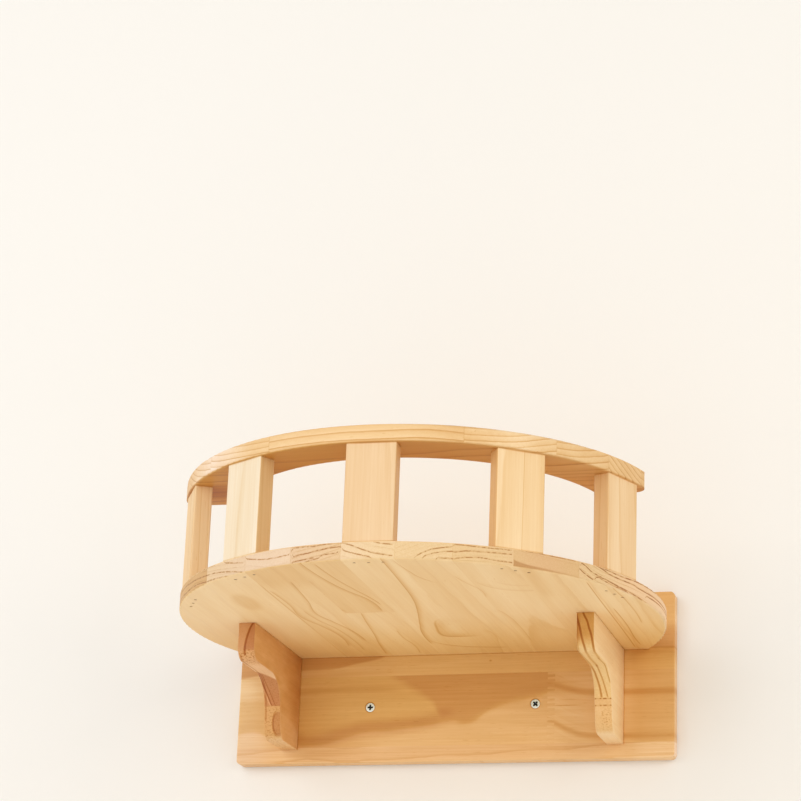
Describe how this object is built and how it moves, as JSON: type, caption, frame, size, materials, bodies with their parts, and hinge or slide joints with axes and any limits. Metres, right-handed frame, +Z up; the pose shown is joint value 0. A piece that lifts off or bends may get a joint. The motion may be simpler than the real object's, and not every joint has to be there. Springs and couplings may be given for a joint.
{
  "type": "cat wall shelf",
  "caption": "Wooden wall shelf for a cat: a half-round deck held on brackets by a back board, with a curved guard rail raised on flat posts.",
  "frame": {"origin": "on the wall's surface, at the back board's rear face, midway between the two wall screws", "axes": "+X along the wall to the right as seen from the room, +Y into the wall, +Z up"},
  "size_m": [0.5, 0.4304, 0.2505],
  "materials": {
    "pine_board": "planed, finger-jointed pine panel, clear oiled",
    "pine_deck": "sanded, edge-glued pine strips, clear oiled",
    "pine_rail": "sanded, edge-glued pine strips, clear oiled",
    "pine_post_1": "planed pine, clear oiled",
    "pine_post_2": "planed pine, clear oiled",
    "pine_post_3": "planed pine, clear oiled",
    "pine_post_4": "planed pine, glued from two strips, clear oiled",
    "pine_post_5": "planed pine, clear oiled",
    "pine_bracket_left": "sawn and sanded pine, glued blocks, clear oiled",
    "pine_bracket_right": "sawn and sanded pine, glued blocks, clear oiled",
    "zinc_screw": "bright zinc-plated steel",
    "steel_nail": "plain drawn steel, slightly dull"
  },
  "bodies": {
    "root": {"back_board": "pine_board", "deck": "pine_deck", "top_rail": "pine_rail", "post_1": "pine_post_1", "post_2": "pine_post_2", "post_3": "pine_post_3", "post_4": "pine_post_4", "post_5": "pine_post_5", "bracket_left": "pine_bracket_left", "bracket_right": "pine_bracket_right", "wall_screw_left": "zinc_screw", "wall_screw_right": "zinc_screw", "deck_back_screws": "zinc_screw", "bracket_back_screws_left": "zinc_screw", "bracket_back_screws_right": "zinc_screw", "bracket_arm_screws_left": "zinc_screw", "bracket_arm_screws_right": "zinc_screw", "post_nails_1": "steel_nail", "post_nails_2": "steel_nail", "post_nails_3": "steel_nail", "post_nails_4": "steel_nail", "post_nails_5": "steel_nail", "rail_nails_1": "steel_nail", "rail_nails_2": "steel_nail", "rail_nails_3": "steel_nail", "rail_nails_4": "steel_nail", "rail_nails_5": "steel_nail"}
  },
  "joints": []
}
